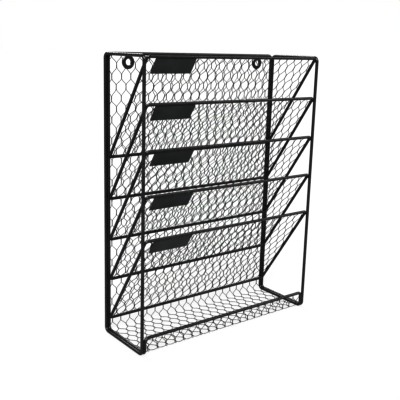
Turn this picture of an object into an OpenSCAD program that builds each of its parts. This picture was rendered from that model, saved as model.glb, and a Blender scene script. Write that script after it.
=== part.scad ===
// Hanging file rack: two side frames and one long back, floor and lip frame, all of round wire, with
// hexagonal netting over the back, the floor and the lip, and five sloping netting pockets for files.
// Millimetres. +Z is up, -Y is the open front and +Y is the wall side. The origin is on the surface that
// the rack stands on, under the middle of its outline.

/* [Rack] */
// Overall width
rack_w = 317.5; // [260:0.5:380]
// Overall depth, front to wall
rack_d = 101.6; // [90:0.1:130]
// Overall height
rack_h = 406.4; // [380:0.1:480]
// Height of the front lip
lip_h = 27; // [22:1:60]

/* [Wire] */
// Wire of the side frames and of the back, floor and lip frame
frame_wire_d = 4.5; // [3.5:0.1:5]
// Wire of the pocket frames
pocket_wire_d = 4.2; // [3:0.1:5]
// Bend radius of the frame wires, at the middle of the wire
frame_bend_r = 6; // [4:0.5:9]
// Bend radius of the pocket wires, at the middle of the wire
pocket_bend_r = 4; // [3:0.5:8]

/* [Pockets] */
// Top of the rack down to the middle of the first pocket's front bar
first_bar_drop = 3.4; // [3:0.1:20]
// From one pocket's front bar down to the next
pocket_pitch = 60.1; // [45:0.1:62]
// Fall of each pocket from its front bar to its back bar
pocket_drop = 140.8; // [100:0.1:142]

/* [Netting] */
// Width of one cell, between its two twisted sides
cell_w = 15.2; // [10:0.1:25]
// From one row of cells to the next
row_pitch = 14.9; // [10:0.1:25]
// Length of a twisted side
twist_len = 7; // [4:0.1:10]
// Width of the bar between two cells
netting_bar = 0.8; // [0.6:0.1:2]
// Thickness of the netting
netting_t = 0.6; // [0.5:0.1:1.5]

/* [Label plates] */
// Width of a label plate
label_w = 64; // [40:1:90]
// Height of a label plate, down the slope
label_h = 23.5; // [15:0.5:40]
// Thickness of a label plate
label_t = 1; // [0.6:0.1:2]
// From the rack's left side to a label plate
label_inset = 20; // [12:1:60]

/* [Hanging rings] */
// Hole for the screw or hook
ring_hole_d = 9.5; // [6:0.1:11]
// Outside of a ring
ring_d = 19.2; // [15:0.1:24]
// Thickness of a ring, front to back
ring_t = 3; // [2:0.1:4]
// From the rack's side to the middle of a ring
ring_inset = 38.2; // [25:0.1:100]

/* [Hidden] */
$fn = 48;
finish = [0.07, 0.07, 0.075];
pocket_count = 5;

frame_r = frame_wire_d / 2;
pocket_r = pocket_wire_d / 2;

// Middles of the frame wires. The long frame runs just inside the side frames and touches them.
side_x = rack_w / 2 - frame_r;
long_x = side_x - frame_wire_d;
post_y = rack_d / 2 - frame_r;
top_z = rack_h - frame_r;
floor_z = frame_r;
lip_z = lip_h - frame_r;

// Middles of the pocket wires. The sides of a pocket touch the side frames, its front bar is flush with the
// front, and its back bar is seated a little past the face of the rear posts, because only its bends meet them.
bend_seat = 0.8;
pocket_x = side_x - frame_r - pocket_r;
pocket_front_y = pocket_r - rack_d / 2;
pocket_back_y = post_y - frame_r - pocket_r + bend_seat;
pocket_run = pocket_back_y - pocket_front_y;
pocket_len = norm([pocket_run, pocket_drop]);
pocket_tilt = atan2(pocket_drop, pocket_run);

// Netting between the middles of two wires stops at their surfaces.
sheet_w = 2 * (long_x - frame_r);
pocket_sheet_w = 2 * (pocket_x - pocket_r);
floor_top = floor_z + netting_t / 2;
back_sheet_h = top_z - frame_r - floor_top;
lip_sheet_h = lip_z - frame_r - floor_top;
floor_sheet_d = 2 * post_y + netting_t;
pocket_sheet_len = pocket_len - pocket_wire_d;
frame_chamfer = frame_bend_r - frame_r;
pocket_chamfer = pocket_bend_r - pocket_r;

// The rings are seated a little into the top bar
ring_seat = 0.4;
ring_x = rack_w / 2 - ring_inset;
ring_z = top_z - frame_r - ring_d / 2 + ring_seat;
ring_edge = 0.8;

// ---- Bent wire ----

function unit(v) = v / norm(v);

// The matrix that puts the local axes along x, y and z, and the local origin at p
function placed(x, y, z, p) = [
    [x.x, y.x, z.x, p.x],
    [x.y, y.y, z.y, p.y],
    [x.z, y.z, z.z, p.z],
    [0, 0, 0, 1]
];

// A direction square to v
function square_to(v) = unit(cross(v, abs(v.x) < 0.5 ? [1, 0, 0] : [0, 1, 0]));

// Straight wire from point a to point b
module rod(a, b, d) {
    along = unit(b - a);
    across = square_to(along);
    multmatrix(placed(across, cross(along, across), along, a))
        cylinder(h = norm(b - a), d = d);
}

// Quarter bend at the corner p, where the wire comes in along one direction and leaves along another
module bend(p, way_in, way_out, d, r) {
    centre = p - r * way_in + r * way_out;
    multmatrix(placed(-way_out, way_in, cross(way_in, way_out), centre))
        rotate_extrude(angle = 90)
            translate([r, 0])
                circle(d = d);
}

// Closed loop of wire through corners that are all square
module wire_loop(corners, d, r) {
    n = len(corners);
    for (i = [0 : n - 1]) {
        before = corners[(i + n - 1) % n];
        here = corners[i];
        after = corners[(i + 1) % n];
        way_in = unit(here - before);
        way_out = unit(after - here);
        bend(here, way_in, way_out, d, r);
        rod(here + r * way_out, after - r * way_out, d);
    }
}

// ---- Netting ----

// One six-sided hole, with its middle at x, y and its twisted sides along Y
function cell(x, y) = let (
        half_w = (cell_w - netting_bar) / 2,
        rise = (row_pitch - twist_len) / cell_w * 2,
        tip = (row_pitch + twist_len) / 2 - netting_bar / 2 * norm([1, rise]),
        shoulder = tip - half_w * rise
    ) [
        [x - half_w, y - shoulder], [x, y - tip], [x + half_w, y - shoulder],
        [x + half_w, y + shoulder], [x, y + tip], [x - half_w, y + shoulder]
    ];

// Rows of cells that cover a sheet, each row half a cell to one side of the last
module cells(w, h) {
    columns = ceil(w / 2 / cell_w);
    rows = ceil(h / row_pitch);
    for (row = [0 : rows])
        for (column = [-columns : columns])
            polygon(cell((column + (row % 2) / 2) * cell_w, row * row_pitch));
}

// Outline of a sheet that stands on the X axis, with its far corners cut off, and all four if near is true
module sheet_outline(w, h, chamfer, near) {
    low = near ? chamfer : 0;
    polygon([
        [low - w / 2, 0], [w / 2 - low, 0], [w / 2, low],
        [w / 2, h - chamfer], [w / 2 - chamfer, h],
        [chamfer - w / 2, h], [-w / 2, h - chamfer], [-w / 2, low]
    ]);
}

// Flat netting with a bar all round its edge
module netting(w, h, chamfer, near = false) {
    linear_extrude(netting_t, center = true)
        difference() {
            sheet_outline(w, h, chamfer, near);
            intersection() {
                translate([0, netting_bar])
                    sheet_outline(w - 2 * netting_bar, h - 2 * netting_bar, chamfer, near);
                cells(w, h);
            }
        }
}

// ---- Frames ----

// Loop in the plane of one side, standing front to back
module side_frame(x) {
    color(finish)
        wire_loop([
            [x, -post_y, floor_z], [x, post_y, floor_z], [x, post_y, top_z], [x, -post_y, top_z]
        ], frame_wire_d, frame_bend_r);
}

// Top bar, rear posts, floor wires and front lip, all one loop
module back_floor_frame() {
    color(finish)
        wire_loop([
            [-long_x, post_y, top_z], [long_x, post_y, top_z],
            [long_x, post_y, floor_z], [long_x, -post_y, floor_z],
            [long_x, -post_y, lip_z], [-long_x, -post_y, lip_z],
            [-long_x, -post_y, floor_z], [-long_x, post_y, floor_z]
        ], frame_wire_d, frame_bend_r);
}

// ---- Netting of the back, floor and lip ----

// Standing sheet inside the rear posts, cut away round the hanging rings
module back_netting() {
    color(finish)
        difference() {
            translate([0, post_y, floor_top])
                rotate([90, 0, 0])
                    netting(sheet_w, back_sheet_h, frame_chamfer);
            for (x = [-ring_x, ring_x])
                translate([x, post_y, ring_z])
                    rotate([90, 0, 0])
                        cylinder(h = ring_t, d = ring_d, center = true);
        }
}

module floor_netting() {
    color(finish)
        translate([0, -floor_sheet_d / 2, floor_z])
            netting(sheet_w, floor_sheet_d, 0);
}

module lip_netting() {
    color(finish)
        translate([0, -post_y, floor_top])
            rotate([90, 0, 0])
                netting(sheet_w, lip_sheet_h, frame_chamfer);
}

// ---- Pockets ----

// Puts children in pocket k's plane: X along its front bar, Y down the slope, -Z towards the front
module in_pocket(k) {
    translate([0, pocket_front_y, rack_h - first_bar_drop - (k - 1) * pocket_pitch])
        rotate([-pocket_tilt, 0, 0])
            children();
}

module pocket_frame(k) {
    color(finish)
        in_pocket(k)
            wire_loop([
                [-pocket_x, 0, 0], [pocket_x, 0, 0], [pocket_x, pocket_len, 0], [-pocket_x, pocket_len, 0]
            ], pocket_wire_d, pocket_bend_r);
}

module pocket_netting(k) {
    color(finish)
        in_pocket(k)
            translate([0, pocket_r, 0])
                netting(pocket_sheet_w, pocket_sheet_len, pocket_chamfer, near = true);
}

// Flat plate on the front of the netting, butted against the front bar
module label_plate(k) {
    color(finish)
        in_pocket(k)
            translate([label_inset - rack_w / 2, pocket_r, -netting_t / 2 - label_t])
                cube([label_w, label_h, label_t]);
}

// ---- Hanging rings ----

// Flat ring with eased outer edges, welded under the top bar
module hanging_ring(x) {
    inner = ring_hole_d / 2;
    outer = ring_d / 2;
    half_t = ring_t / 2;
    color(finish)
        translate([x, post_y, ring_z])
            rotate([90, 0, 0])
                rotate_extrude()
                    polygon([
                        [inner, -half_t], [outer - ring_edge, -half_t], [outer, ring_edge - half_t],
                        [outer, half_t - ring_edge], [outer - ring_edge, half_t], [inner, half_t]
                    ]);
}

side_frame(-side_x);  // left_side_frame
side_frame(side_x);  // right_side_frame
back_floor_frame();
back_netting();
floor_netting();
lip_netting();
pocket_frame(1);  // pocket_frame_1
pocket_frame(2);  // pocket_frame_2
pocket_frame(3);  // pocket_frame_3
pocket_frame(4);  // pocket_frame_4
pocket_frame(5);  // pocket_frame_5
pocket_netting(1);  // pocket_netting_1
pocket_netting(2);  // pocket_netting_2
pocket_netting(3);  // pocket_netting_3
pocket_netting(4);  // pocket_netting_4
pocket_netting(5);  // pocket_netting_5
label_plate(1);  // label_plate_1
label_plate(2);  // label_plate_2
label_plate(3);  // label_plate_3
label_plate(4);  // label_plate_4
label_plate(5);  // label_plate_5
hanging_ring(-ring_x);  // left_hanging_ring
hanging_ring(ring_x);  // right_hanging_ring
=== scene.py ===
"""Hanging file rack of round steel wire and hexagonal netting, all in black powder coat.

The wires, the label plates and the hanging rings are the CAD model's own nodes with better materials.
The netting is made here strand by strand, with its twisted sides, and so are the welds between the wires.
Metres, in the CAD model's frame: +Z is up, -Y is the open front and +Y is the wall side.
"""

import math
import random
from collections import namedtuple

import bpy
import numpy as np
from mathutils import Matrix, Vector


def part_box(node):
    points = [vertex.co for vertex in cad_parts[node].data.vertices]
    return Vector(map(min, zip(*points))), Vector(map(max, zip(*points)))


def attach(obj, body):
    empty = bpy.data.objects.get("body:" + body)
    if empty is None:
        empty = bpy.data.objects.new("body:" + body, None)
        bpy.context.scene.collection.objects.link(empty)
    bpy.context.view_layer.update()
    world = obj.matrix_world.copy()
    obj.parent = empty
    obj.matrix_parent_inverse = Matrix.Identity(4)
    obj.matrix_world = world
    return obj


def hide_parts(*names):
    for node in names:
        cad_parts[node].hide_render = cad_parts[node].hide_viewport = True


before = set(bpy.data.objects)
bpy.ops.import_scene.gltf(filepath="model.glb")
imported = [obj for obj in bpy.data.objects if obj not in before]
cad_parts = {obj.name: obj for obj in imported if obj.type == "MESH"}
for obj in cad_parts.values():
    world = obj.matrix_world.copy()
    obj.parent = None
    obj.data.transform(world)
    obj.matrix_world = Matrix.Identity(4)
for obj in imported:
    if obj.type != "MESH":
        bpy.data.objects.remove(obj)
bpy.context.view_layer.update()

# ---- Sizes ----

MM = 0.001

# Wires, from the frame
SIDE_LOW, SIDE_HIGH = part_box("right_side_frame")
LONG_LOW, LONG_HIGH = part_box("back_floor_frame")
FRAME_R = (SIDE_HIGH.x - SIDE_LOW.x) / 2
SIDE_X = SIDE_HIGH.x - FRAME_R
LONG_X = LONG_HIGH.x - FRAME_R
POST_Y = LONG_HIGH.y - FRAME_R
TOP_Z = LONG_HIGH.z - FRAME_R
FLOOR_Z = LONG_LOW.z + FRAME_R
LIP_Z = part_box("lip_netting")[1].z + FRAME_R
BEND_R = 6 * MM
POCKET_R = (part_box("pocket_frame_1")[1].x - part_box("pocket_netting_1")[1].x) / 2
POCKETS = range(1, 6)

# Strands of the netting
STRAND_R = 0.36 * MM
STRAND_SIDES = 5
TWIST_TURNS = 2
TWIST_POINTS = 11
TWIST_SHARE = 0.47  # of the row pitch
TWIST_EASE = 0.6  # how much slower a twist turns at its ends than in its middle
SWING_POINTS = 4  # between one twist and the next
SWING_EASE = 0.55  # how much of a strand's way across is curved, and not straight

# Where a strand is welded to a wire
BITE = 0.5 * MM  # how far its end runs into the wire
FLARE = 0.8  # how much thicker the coating makes it there
FLARE_FADE = 0.45 * MM
FLARE_PLACES = np.array([0.5, 0.8, 1.2, 1.8]) * MM  # from its end, where it gets extra points

# Unevenness of the netting
JITTER = 0.35 * MM  # of each knot by itself
DRIFT = 1.2 * JITTER  # of the cells of a region together
DRIFT_SIZE = 160 * MM
WAVE = 0.45 * MM  # out of the sheet
WAVE_SIZE = 120 * MM

# Cells of the sheet over the back, floor and lip
CELL_W = 15.2 * MM
BACK_PITCH = 14.9 * MM
BACK_ROWS = 26
FLOOR_PITCH = 13.9 * MM
SHEET_ROWS = range(-1, 37)
SHEET_START = (5.4 * MM, 1.35 * MM)  # of the first knot: across, and down from the top bar
SHEET_SEED = 11

# Cells of the pockets' sheets, which are cut from the roll at their own places
POCKET_CELL_W = 15.05 * MM
POCKET_PITCH = 16 * MM
POCKET_ROWS = range(-2, 12)
POCKET_STARTS = [
    (4.1 * MM, 2.2 * MM), (10.7 * MM, 12.4 * MM), (0, 10.4 * MM), (1.4 * MM, 11.9 * MM),
    (-2.3 * MM, 12.4 * MM)]
POCKET_SEED = 20
POCKET_SET_BACK = 0.4 * MM  # keeps the netting behind the label plates

# Shape of the weld beads
BEAD_POINTS = 13
BEAD_SIDES = 12
BEAD_REACH = 0.97  # share of its length that a bead's points cover, so that its ends are blunt
BEAD_TAPER = 0.4  # a smaller power makes a bead fuller towards its ends
BEAD_LUMPS = (0.9, 1.08)
WELD_SEED = 5

# Length and radius of each kind of weld bead
LONG_BEAD = (11 * MM, 1.15 * MM)
LIP_BEAD = (8 * MM, 1.15 * MM)
FRONT_BEAD = (6.5 * MM, 1.5 * MM)
BACK_BEAD = (6 * MM, 1.4 * MM)
RING_BEAD = (8 * MM, 0.95 * MM)

# Places of the weld beads
GROOVE = 1.05 * MM  # from the line where two wires touch out to the middle of their bead
POST_SHARES = (0.13, 0.5, 0.87)  # of the height of the rear posts
FRONT_SHIFT = (1.8 * MM, -3 * MM)  # along Y and Z, from the middle of a pocket's front bar
BACK_SHIFT = (-1.7 * MM, 0.6 * MM)  # along X and Z, from the rear post and the pocket's back bar
RING_SHIFT = 0.5 * MM  # down from the top of a hanging ring

# Seam along the top of a label plate
SEAM_POINTS = 60
SEAM_R = (0.42 * MM, 0.55 * MM)
SEAM_INSET = 1.5 * MM
SEAM_LIFT = 0.8 * MM  # towards the front

# Coats
TONE_SCALE = 35  # light and dark patches per metre
PATCH_SCALE = 110  # rough and smooth patches per metre
NOISE_LOW = 0.3
NOISE_HIGH = 0.7
EDGE_R = 0.25 * MM  # of the label plates

WHITE = (1, 1, 1, 1)


# ---- Helpers ----

def unit(v):
    return v / np.linalg.norm(v)


def make_piece(name, points, faces, material, slot):
    """A smooth mesh piece that rides on the rack."""
    mesh = bpy.data.meshes.new(name)
    mesh.from_pydata(points, [], faces)
    mesh.polygons.foreach_set("use_smooth", [True] * len(mesh.polygons))
    mesh.materials.append(material)
    mesh.update()
    piece = bpy.data.objects.new(name, mesh)
    bpy.context.scene.collection.objects.link(piece)
    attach(piece, "root")
    return piece


def tube(points, up, radii, sides):
    """Corners and faces of a closed tube along points, where up is never along the tube."""
    along = np.gradient(points, axis=0)
    along /= np.linalg.norm(along, axis=1)[:, None]
    across = np.cross(along, up)
    across /= np.linalg.norm(across, axis=1)[:, None]
    over = np.cross(across, along)
    turn = 2 * math.pi * (np.arange(sides) + 0.5) / sides
    ring = np.cos(turn)[None, :, None] * across[:, None] + np.sin(turn)[None, :, None] * over[:, None]
    corners = (points[:, None] + radii[:, None, None] * ring).reshape(-1, 3)
    rings = np.arange(len(points) - 1)[:, None] * sides
    here = np.arange(sides)[None, :]
    after = (here + 1) % sides
    quads = np.stack([rings + here, rings + after, rings + sides + after, rings + sides + here], axis=-1)
    faces = quads.reshape(-1, 4).tolist()
    faces.append(list(range(sides))[::-1])
    faces.append(list(range(len(corners) - sides, len(corners))))
    return corners, faces


def join(parts):
    """One list of corners and one of faces from several."""
    corners, faces, first = [], [], 0
    for part_corners, part_faces in parts:
        corners.append(part_corners)
        faces.extend([[first + i for i in face] for face in part_faces])
        first += len(part_corners)
    return np.vstack(corners).tolist(), faces


# ---- Materials ----

def noise(nodes, links, coords, scale, detail):
    texture = nodes.new("ShaderNodeTexNoise")
    texture.inputs["Scale"].default_value = scale
    texture.inputs["Detail"].default_value = detail
    links.new(coords, texture.inputs["Vector"])
    return texture.outputs["Fac"]


def spread(nodes, links, value, low, high):
    """Maps the middle of a noise to low and high."""
    scale = nodes.new("ShaderNodeMapRange")
    scale.inputs["From Min"].default_value = NOISE_LOW
    scale.inputs["From Max"].default_value = NOISE_HIGH
    scale.inputs["To Min"].default_value = low
    scale.inputs["To Max"].default_value = high
    links.new(value, scale.inputs["Value"])
    return scale.outputs["Result"]


def powder_coat(name, dark, light, rough, grain_mm, relief_mm, gloss):
    """Black powder coat: a satin skin with fine orange peel, a little uneven in tone and gloss."""
    material = bpy.data.materials.new(name)
    material.use_nodes = True
    nodes, links = material.node_tree.nodes, material.node_tree.links
    shader = nodes["Principled BSDF"]
    coords = nodes.new("ShaderNodeTexCoord").outputs["Object"]

    tone = nodes.new("ShaderNodeValToRGB")
    tone.color_ramp.elements[0].position = NOISE_LOW
    tone.color_ramp.elements[0].color = (*dark, 1)
    tone.color_ramp.elements[1].position = NOISE_HIGH
    tone.color_ramp.elements[1].color = (*light, 1)
    links.new(noise(nodes, links, coords, TONE_SCALE, 3), tone.inputs["Fac"])
    links.new(tone.outputs["Color"], shader.inputs["Base Color"])

    patches = noise(nodes, links, coords, PATCH_SCALE, 4)
    links.new(spread(nodes, links, patches, *rough), shader.inputs["Roughness"])
    shader.inputs["Specular IOR Level"].default_value = gloss

    peel = nodes.new("ShaderNodeBump")
    peel.inputs["Strength"].default_value = 1
    peel.inputs["Distance"].default_value = relief_mm * MM
    links.new(noise(nodes, links, coords, 1 / (grain_mm * MM), 2), peel.inputs["Height"])
    links.new(peel.outputs["Normal"], shader.inputs["Normal"])
    return material


WIRE_COAT = powder_coat(
    "wire_coat", dark=(0.025, 0.025, 0.026), light=(0.04, 0.04, 0.041), rough=(0.22, 0.34),
    grain_mm=0.9, relief_mm=0.03, gloss=0.85)
NETTING_COAT = powder_coat(
    "netting_coat", dark=(0.022, 0.022, 0.022), light=(0.04, 0.04, 0.04), rough=(0.4, 0.55),
    grain_mm=0.5, relief_mm=0.02, gloss=0.3)
# The plates have the same black coat as the wires, but here it is painted about three times lighter. This
# is painted light for the light that their flat faces catch from below.
PLATE_COAT = powder_coat(
    "plate_coat", dark=(0.078, 0.083, 0.083), light=(0.112, 0.118, 0.118), rough=(0.4, 0.52),
    grain_mm=1.3, relief_mm=0.04, gloss=0.4)


# ---- Camera ----

def add_camera():
    """Looks at the rack from in front, to its left and a little above."""
    azimuth, elevation, roll = math.radians(38.1), math.radians(12.3), math.radians(1.6)
    aim = Vector((9.5 * MM, 40 * MM, 203.5 * MM))
    distance = 1.01
    forward = Vector((
        math.sin(azimuth) * math.cos(elevation),
        math.cos(azimuth) * math.cos(elevation),
        -math.sin(elevation)))
    level = Vector((math.cos(azimuth), -math.sin(azimuth), 0))
    right = level * math.cos(roll) + level.cross(forward) * math.sin(roll)
    up = right.cross(forward)
    data = bpy.data.cameras.new("camera")
    data.lens = 58.2
    data.sensor_width = 36
    data.shift_x = -0.0055
    data.shift_y = -0.035
    data.clip_start = 0.01
    camera = bpy.data.objects.new("camera", data)
    bpy.context.scene.collection.objects.link(camera)
    camera.matrix_world = Matrix((
        (right.x, up.x, -forward.x, aim.x - distance * forward.x),
        (right.y, up.y, -forward.y, aim.y - distance * forward.y),
        (right.z, up.z, -forward.z, aim.z - distance * forward.z),
        (0, 0, 0, 1)))
    bpy.context.scene.camera = camera


# ---- Netting ----

# The cells of a sheet: their width, their rows, row_place(row), which gives a row's distance along the
# sheet, and first_u, the place of the middle knot across it
Cells = namedtuple("Cells", "width rows row_place first_u")

# A sheet: place, which turns distances along it into points and directions, where it starts and ends
# along that way, how far it reaches to each side, its cells, whether each of its ends is welded to a wire,
# its round holes, each with a place across, a place along and a radius, and how far it lies behind place
Sheet = namedtuple(
    "Sheet", "place span edge_x cells ends_welded holes set_back", defaults=((True, True), (), 0.0))


def bent_route(corners, radius):
    """A function from distances along a route in the YZ plane to points and directions, and the route's
    length. The route's corners are square and rounded to the radius."""
    pieces, travelled = [], 0.0
    corners = [np.array(corner, float) for corner in corners]
    for i in range(len(corners) - 1):
        ahead = unit(corners[i + 1] - corners[i])
        start = corners[i] + (radius * ahead if i else 0)
        last = i == len(corners) - 2
        end = corners[i + 1] - (0 if last else radius * ahead)
        pieces.append((travelled, start, ahead, None))
        travelled += np.linalg.norm(end - start)
        if not last:
            turned = unit(corners[i + 2] - corners[i + 1])
            pieces.append((travelled, end, ahead, turned))
            travelled += radius * math.pi / 2

    def place(distance):
        points = np.zeros((len(distance), 2))
        ways = np.zeros((len(distance), 2))
        for i, (begin, start, ahead, turned) in enumerate(pieces):
            finish = pieces[i + 1][0] if i + 1 < len(pieces) else math.inf
            here = (distance < finish) & ((distance >= begin) | (i == 0))
            gone = (distance[here] - begin)[:, None]
            if turned is None:
                points[here] = start + gone * ahead
                ways[here] = ahead
            else:
                angle = gone / radius
                centre = start + radius * turned
                points[here] = centre + radius * (ahead * np.sin(angle) - turned * np.cos(angle))
                ways[here] = ahead * np.cos(angle) + turned * np.sin(angle)
        return points, ways

    return place, travelled


def smooth_noise(rng, size):
    """A gentle function of two coordinates, about -1 to 1."""
    waves = [(rng.uniform(-1, 1), rng.uniform(-1, 1), rng.uniform(0, 2 * math.pi)) for _ in range(4)]

    def value(u, v):
        total = sum(np.sin((a * u + b * v) / size * 2 * math.pi + c) for a, b, c in waves)
        return total / len(waves)

    return value


def knot_pushes(rng, cells, reach):
    """How far each knot is out of its place, across and along."""
    pushes = {}
    for knot in range(-reach - 1, reach + 3):
        for row in cells.rows:
            pushes[knot, row] = (rng.gauss(0, JITTER), rng.gauss(0, JITTER))
    return pushes


def strand(column, cells, pushes):
    """The line of one strand in a sheet's own coordinates: across, along and out of the sheet. The strand
    twists in turn with its neighbour on one side and on the other, once in each row."""
    turns = np.linspace(0, 1, TWIST_POINTS)
    eased_turns = turns - TWIST_EASE * np.sin(2 * math.pi * turns) / (2 * math.pi)
    angle = 2 * math.pi * TWIST_TURNS * eased_turns
    swing = np.linspace(0, 1, SWING_POINTS + 2)[1:-1]
    eased_swing = (1 - SWING_EASE) * swing + SWING_EASE * swing * swing * (3 - 2 * swing)
    across, along, out = [], [], []
    for row in cells.rows:
        left = (column - row) % 2 == 0
        knot = column if left else column + 1
        side = 1 if left else -1
        hand = 1 if row % 2 else -1
        push_u, push_v = pushes[knot, row]
        middle_u = cells.first_u + knot * cells.width / 2 + push_u
        middle_v = cells.row_place(row) + push_v
        twist = TWIST_SHARE * (cells.row_place(row + 1) - cells.row_place(row))
        u = middle_u + side * STRAND_R * np.cos(angle)
        v = middle_v + twist * (turns - 0.5)
        n = side * hand * STRAND_R * np.sin(angle)
        if across:
            before_u, before_v = across[-1][-1], along[-1][-1]
            across.append(before_u + (u[0] - before_u) * eased_swing)
            along.append(before_v + (v[0] - before_v) * swing)
            out.append(np.zeros(len(swing)))
        across.append(u)
        along.append(v)
        out.append(n)
    return np.concatenate(across), np.concatenate(along), np.concatenate(out)


def uneven(line, sheet, drift, wave):
    """A strand's line after the cells have drifted along the sheet and the sheet has waved. The wave dies
    out towards the sheet's edges."""
    u, v, n = line
    u = u + DRIFT * drift(u, v)
    v = v + DRIFT * drift(v, u)
    start, end = sheet.span
    free = np.clip(1 - np.abs(u) / sheet.edge_x, 0, 1) * np.clip((v - start) * (end - v), 0, None)
    free = np.sqrt(free / (end - start) ** 2) * 2
    n = n + WAVE * free * wave(u, v) + sheet.set_back
    return u, v, n


def depth_inside(u, v, sheet):
    """How far points are inside the sheet's edges and outside its holes."""
    start, end = sheet.span
    depth = np.minimum(sheet.edge_x - np.abs(u), np.minimum(v - start, end - v))
    for hole_u, hole_v, hole_r in sheet.holes:
        depth = np.minimum(depth, np.hypot(u - hole_u, v - hole_v) - hole_r)
    return depth


def inside_runs(line, depth):
    """Cuts a line, an array of points, into the runs where depth is positive, with ends at depth zero."""
    runs, run = [], []
    for i in range(len(line)):
        if i and (depth[i] > 0) != (depth[i - 1] > 0):
            share = depth[i - 1] / (depth[i - 1] - depth[i])
            edge = line[i - 1] + share * (line[i] - line[i - 1])
            run.append(edge)
            if depth[i] <= 0:
                runs.append(np.array(run))
                run = []
        if depth[i] > 0:
            run.append(line[i])
    if run:
        runs.append(np.array(run))
    return [run for run in runs if len(run) > 1]


def welded_ends(run, sheet):
    """Whether a run's start and end meet a wire. The others go on in the next sheet."""
    same = 1e-6
    start, end = sheet.span
    at_start = abs(run[0, 1] - start) < same
    at_end = abs(run[-1, 1] - end) < same
    return [sheet.ends_welded[0] or not at_start, sheet.ends_welded[1] or not at_end]


def with_flares(run, welded):
    """Adds points near a run's welded ends, and gives the strand's radius at each point."""
    steps = np.linalg.norm(np.diff(run, axis=0), axis=1)
    gone = np.concatenate([[0], np.cumsum(steps)])
    total = gone[-1]
    extra = []
    if welded[0]:
        extra.append(FLARE_PLACES)
    if welded[1]:
        extra.append(total - FLARE_PLACES)
    places = np.unique(np.clip(np.round(np.concatenate([gone, *extra]), 7), 0, total))
    points = np.stack([np.interp(places, gone, run[:, axis]) for axis in range(3)], axis=1)
    swell = np.zeros(len(places))
    for is_welded, away in zip(welded, (places, total - places)):
        if is_welded:
            swell += FLARE * np.exp(-np.maximum(away - BITE, 0) / FLARE_FADE)
    return points, STRAND_R * (1 + swell)


def laid_out(run, radii, sheet):
    """The tube of a run, from the sheet's own coordinates to its place in the rack."""
    flat, ways = sheet.place(run[:, 1])
    outward = np.stack([-ways[:, 1], ways[:, 0]], axis=1)
    flat = flat + run[:, 2:] * outward
    points = np.column_stack([run[:, 0], flat])
    up = np.column_stack([np.zeros(len(run)), outward])
    return tube(points, up, radii, STRAND_SIDES)


def netting(name, node, sheet, seed):
    """All the strands of a sheet, as one piece that replaces a CAD node."""
    rng = random.Random(seed)
    reach = math.ceil(sheet.edge_x / (sheet.cells.width / 2)) + 2
    pushes = knot_pushes(rng, sheet.cells, reach)
    drift = smooth_noise(rng, DRIFT_SIZE)
    wave = smooth_noise(rng, WAVE_SIZE)
    parts = []
    for column in range(-reach, reach):
        u, v, n = uneven(strand(column, sheet.cells, pushes), sheet, drift, wave)
        for run in inside_runs(np.stack([u, v, n], axis=1), depth_inside(u, v, sheet)):
            run, radii = with_flares(run, welded_ends(run, sheet))
            parts.append(laid_out(run, radii, sheet))
    piece = make_piece(name, *join(parts), NETTING_COAT, "netting_coating")
    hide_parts(node)


def ring_holes():
    """Holes round the two hanging rings, for a sheet that hangs from the top bar."""
    low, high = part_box("right_hanging_ring")
    across = (low.x + high.x) / 2
    down = TOP_Z - (low.z + high.z) / 2
    radius = (high.x - low.x) / 2 - BITE
    return [(side * across, down, radius) for side in (-1, 1)]


def sheet_row_place(row):
    """Rows down the back and then along the floor, which are closer together."""
    back_rows = min(row, BACK_ROWS)
    return SHEET_START[1] + back_rows * BACK_PITCH + (row - back_rows) * FLOOR_PITCH


def add_back_floor_lip():
    """One sheet that hangs from the top bar, turns forward over the floor and turns up to the lip's bar."""
    place, length = bent_route(
        [(POST_Y, TOP_Z), (POST_Y, FLOOR_Z), (-POST_Y, FLOOR_Z), (-POST_Y, LIP_Z)], BEND_R)
    start = FRAME_R - BITE
    back_end = TOP_Z - FLOOR_Z - BEND_R
    lip_start = length - (LIP_Z - FLOOR_Z - BEND_R)
    end = length - start
    edge_x = LONG_X - FRAME_R + BITE
    cells = Cells(CELL_W, SHEET_ROWS, sheet_row_place, SHEET_START[0])
    for node, span, ends_welded, holes in (
            ("back_netting", (start, back_end), (True, False), ring_holes()),
            ("floor_netting", (back_end, lip_start), (False, False), []),
            ("lip_netting", (lip_start, end), (False, True), [])):
        sheet = Sheet(place, span, edge_x, cells, ends_welded, holes)
        netting(f"{node}_strands", node, sheet, SHEET_SEED)


def add_pocket_netting(k):
    """A flat sheet between a pocket's front bar and its back bar."""
    low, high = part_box(f"pocket_frame_{k}")
    front = (low.y + POCKET_R, high.z - POCKET_R)
    back = (high.y - POCKET_R, low.z + POCKET_R)
    place, length = bent_route([front, back], 0)
    start = POCKET_R - BITE
    edge_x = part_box(f"pocket_netting_{k}")[1].x + BITE
    first_u, first_v = POCKET_STARTS[k - 1]
    cells = Cells(POCKET_CELL_W, POCKET_ROWS, lambda row: first_v + row * POCKET_PITCH, first_u)
    sheet = Sheet(place, (start, length - start), edge_x, cells, set_back=POCKET_SET_BACK)
    netting(f"pocket_netting_strands_{k}", f"pocket_netting_{k}", sheet, POCKET_SEED + k)


# ---- Welds ----

def bead(rng, middle, along, size):
    """A short run of weld, thick in its middle and a little lumpy."""
    length, radius = size
    along = unit(np.array(along, float))
    up = (1, 0, 0) if abs(along[0]) < 0.5 else (0, 0, 1)
    shares = np.linspace(-BEAD_REACH, BEAD_REACH, BEAD_POINTS)
    lumps = np.array([rng.uniform(*BEAD_LUMPS) for _ in shares])
    points = np.array(middle) + shares[:, None] * along * length / 2
    radii = radius * (1 - shares ** 2) ** BEAD_TAPER * lumps
    return tube(points, up, radii, BEAD_SIDES)


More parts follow.
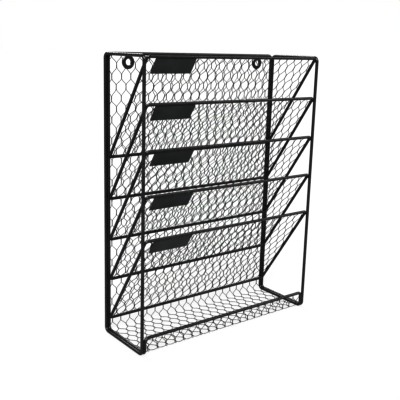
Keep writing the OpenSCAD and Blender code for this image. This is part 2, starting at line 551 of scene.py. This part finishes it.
def side_and_long_welds(rng, side):
    """Where a side frame lies along the long frame: behind the posts, under the floor wires and inside the
    lip."""
    x = side * (SIDE_X - FRAME_R)
    upright, flat = (0, 0, 1), (0, 1, 0)
    beads = [bead(rng, (x, POST_Y + GROOVE, share * TOP_Z), upright, LONG_BEAD) for share in POST_SHARES]
    for y in (-POST_Y / 2, POST_Y / 2):
        beads.append(bead(rng, (x, y, FLOOR_Z - GROOVE), flat, LONG_BEAD))
    beads.append(bead(rng, (x, GROOVE - POST_Y, (FLOOR_Z + LIP_Z) / 2), upright, LIP_BEAD))
    return beads


def pocket_welds(rng, k, side):
    """A pocket's front corner to the side frame's front post, and its back corner to the rear post."""
    low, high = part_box(f"pocket_frame_{k}")
    front = (
        side * (SIDE_X - FRAME_R),
        low.y + POCKET_R + FRONT_SHIFT[0],
        high.z - POCKET_R + FRONT_SHIFT[1])
    back = (
        side * (LONG_X + BACK_SHIFT[0]),
        POST_Y - FRAME_R,
        low.z + POCKET_R + BACK_SHIFT[1])
    down_the_post = (0, -0.3, 1)
    round_the_corner = (1, 0, 0.4 * side)
    return [bead(rng, front, down_the_post, FRONT_BEAD), bead(rng, back, round_the_corner, BACK_BEAD)]


def ring_welds(rng, side):
    """In front of and behind a hanging ring, under the top bar."""
    low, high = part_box("right_hanging_ring")
    x = side * (low.x + high.x) / 2
    return [bead(rng, (x, y, high.z - RING_SHIFT), (1, 0, 0), RING_BEAD) for y in (low.y, high.y)]


def plate_weld(rng, k):
    """A thin seam along the top of a label plate, under the front bar."""
    low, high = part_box(f"label_plate_{k}")
    bar_low, bar_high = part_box(f"pocket_frame_{k}")
    down = unit(np.array([high.y - low.y, low.z - high.z]))
    forward = np.array([down[1], -down[0]])
    bar = np.array([bar_low.y + POCKET_R, bar_high.z - POCKET_R])
    seam = bar + POCKET_R * down + SEAM_LIFT * forward
    x = np.linspace(low.x + SEAM_INSET, high.x - SEAM_INSET, SEAM_POINTS)
    points = np.column_stack([x, np.full(len(x), seam[0]), np.full(len(x), seam[1])])
    radii = np.array([rng.uniform(*SEAM_R) for _ in x])
    return tube(points, (0, 0, 1), radii, BEAD_SIDES)


def add_welds():
    """All the weld beads, as one piece."""
    rng = random.Random(WELD_SEED)
    beads = []
    for side in (-1, 1):
        beads.extend(side_and_long_welds(rng, side))
        beads.extend(ring_welds(rng, side))
        for k in POCKETS:
            beads.extend(pocket_welds(rng, k, side))
    for k in POCKETS:
        beads.append(plate_weld(rng, k))
    make_piece("welds", *join(beads), WIRE_COAT, "frame_coating")


# ---- Looks of the CAD nodes ----

def coat(node, material):
    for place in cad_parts[node].material_slots:
        place.material = material


def ease_edges(node):
    """Rounds a plate's edges, as its coat does."""
    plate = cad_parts[node]
    weld = plate.modifiers.new("weld", "WELD")
    weld.merge_threshold = 0.01 * MM
    bevel = plate.modifiers.new("bevel", "BEVEL")
    bevel.width = EDGE_R
    bevel.segments = 3
    bevel.limit_method = "ANGLE"
    bevel.angle_limit = math.radians(40)


def coat_cad_nodes():
    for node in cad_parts:
        if node.startswith("label_plate"):
            coat(node, PLATE_COAT)
            ease_edges(node)
        else:
            coat(node, WIRE_COAT)


# ---- Floor and light ----

def seen_and_given(nodes, links, seen, given):
    """A strength that the camera sees as one value, and that is another as a light."""
    strength = nodes.new("ShaderNodeMapRange")
    strength.inputs["To Min"].default_value = given
    strength.inputs["To Max"].default_value = seen
    links.new(nodes.new("ShaderNodeLightPath").outputs["Is Camera Ray"], strength.inputs["Value"])
    return strength.outputs["Result"]


def add_floor():
    """A wide round white table that is lit from within, so the rack's shadow on it is faint."""
    sides, radius = 96, 30
    turns = [2 * math.pi * i / sides for i in range(sides)]
    corners = [(radius * math.cos(turn), radius * math.sin(turn), 0) for turn in turns]
    mesh = bpy.data.meshes.new("floor")
    mesh.from_pydata(corners, [], [list(range(sides))])
    material = bpy.data.materials.new("floor_white")
    material.use_nodes = True
    nodes, links = material.node_tree.nodes, material.node_tree.links
    shader = nodes["Principled BSDF"]
    shader.inputs["Base Color"].default_value = (0.12, 0.12, 0.12, 1)
    shader.inputs["Roughness"].default_value = 0.9
    shader.inputs["Specular IOR Level"].default_value = 0
    shader.inputs["Emission Color"].default_value = WHITE
    links.new(seen_and_given(nodes, links, seen=0.81, given=0.5), shader.inputs["Emission Strength"])
    mesh.materials.append(material)
    floor = bpy.data.objects.new("floor", mesh)
    bpy.context.scene.collection.objects.link(floor)


def add_room():
    """A world that is white round the camera's view and dimmer as a light."""
    world = bpy.data.worlds.new("studio")
    world.use_nodes = True
    nodes, links = world.node_tree.nodes, world.node_tree.links
    background = nodes["Background"]
    background.inputs["Color"].default_value = WHITE
    links.new(seen_and_given(nodes, links, seen=1, given=0.3), background.inputs["Strength"])
    bpy.context.scene.world = world


def add_sun(name, place, strength):
    """A very wide sun: the light of a far, large softbox, the same all over the floor."""
    data = bpy.data.lights.new(name, "SUN")
    data.energy = strength
    data.angle = math.radians(40)
    light = bpy.data.objects.new(name, data)
    light.rotation_euler = Vector(place).to_track_quat("Z", "Y").to_euler()
    bpy.context.scene.collection.objects.link(light)


def set_view():
    """The gamma keeps thin black strands dark against white."""
    view = bpy.context.scene.view_settings
    view.view_transform = "Standard"
    view.gamma = 0.5


add_camera()
coat_cad_nodes()
add_back_floor_lip()
for k in POCKETS:
    add_pocket_netting(k)
add_welds()
add_floor()
add_room()
add_sun("key", (-1.2, -1.6, 2.0), 4.5)
add_sun("fill", (1.8, -1.0, 1.2), 1)
add_sun("rim", (0.3, 1.8, 1.6), 2)
set_view()
